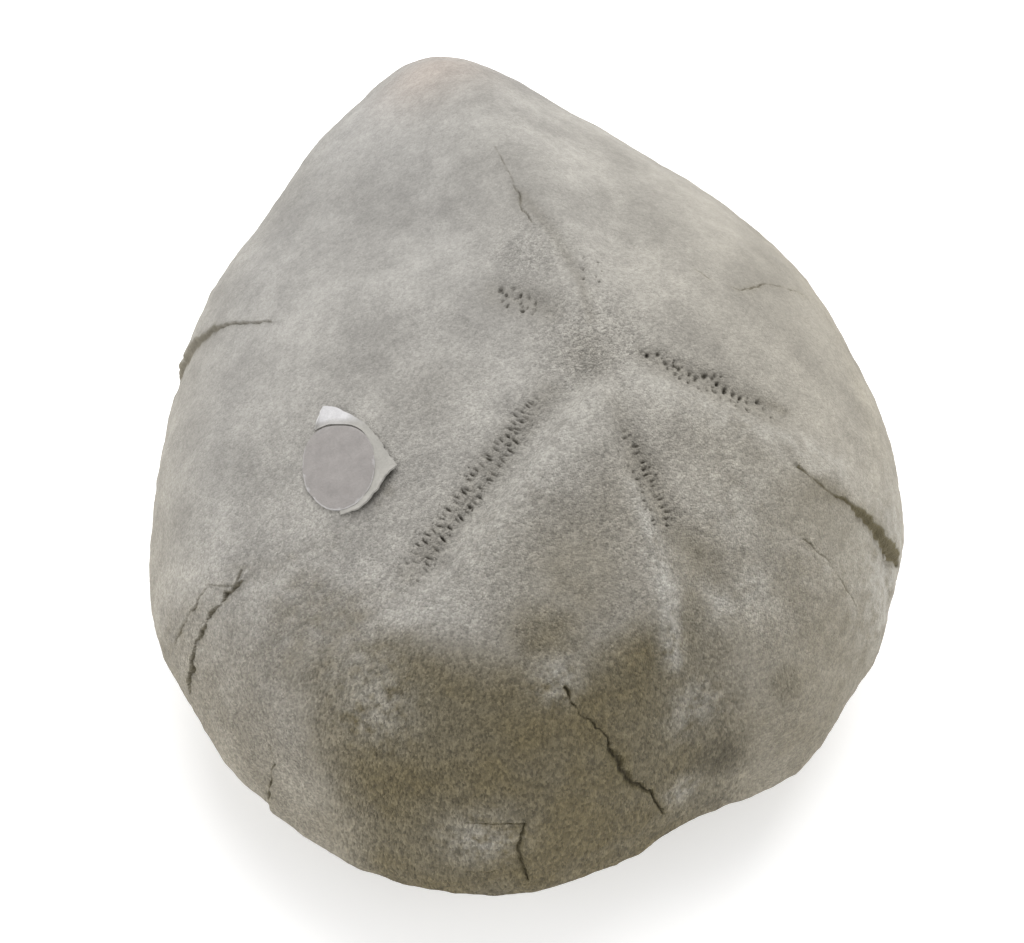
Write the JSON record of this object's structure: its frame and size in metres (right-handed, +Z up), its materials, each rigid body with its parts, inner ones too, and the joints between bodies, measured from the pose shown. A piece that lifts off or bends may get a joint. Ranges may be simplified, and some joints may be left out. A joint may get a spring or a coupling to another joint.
{
  "type": "fossil sea urchin",
  "caption": "Domed, heart-shaped stone test of a fossil sea urchin: pointed tail, sunken petals with pores, front groove, cracks, flat underside and a small round patch stuck to its back.",
  "frame": {"origin": "middle of the base, at the level of the surface that the fossil rests on", "axes": "+Y towards the pointed tail, -Y towards the front groove, +Z up out of the back, +X to the right as seen from above with the tail away"},
  "size_m": [0.041, 0.0474, 0.022],
  "materials": {
    "stone": "matt, finely granular, dusty",
    "patch": "smooth and slightly sheened, with a torn edge"
  },
  "bodies": {
    "root": {"test": "stone", "round_patch": "patch"}
  },
  "joints": []
}
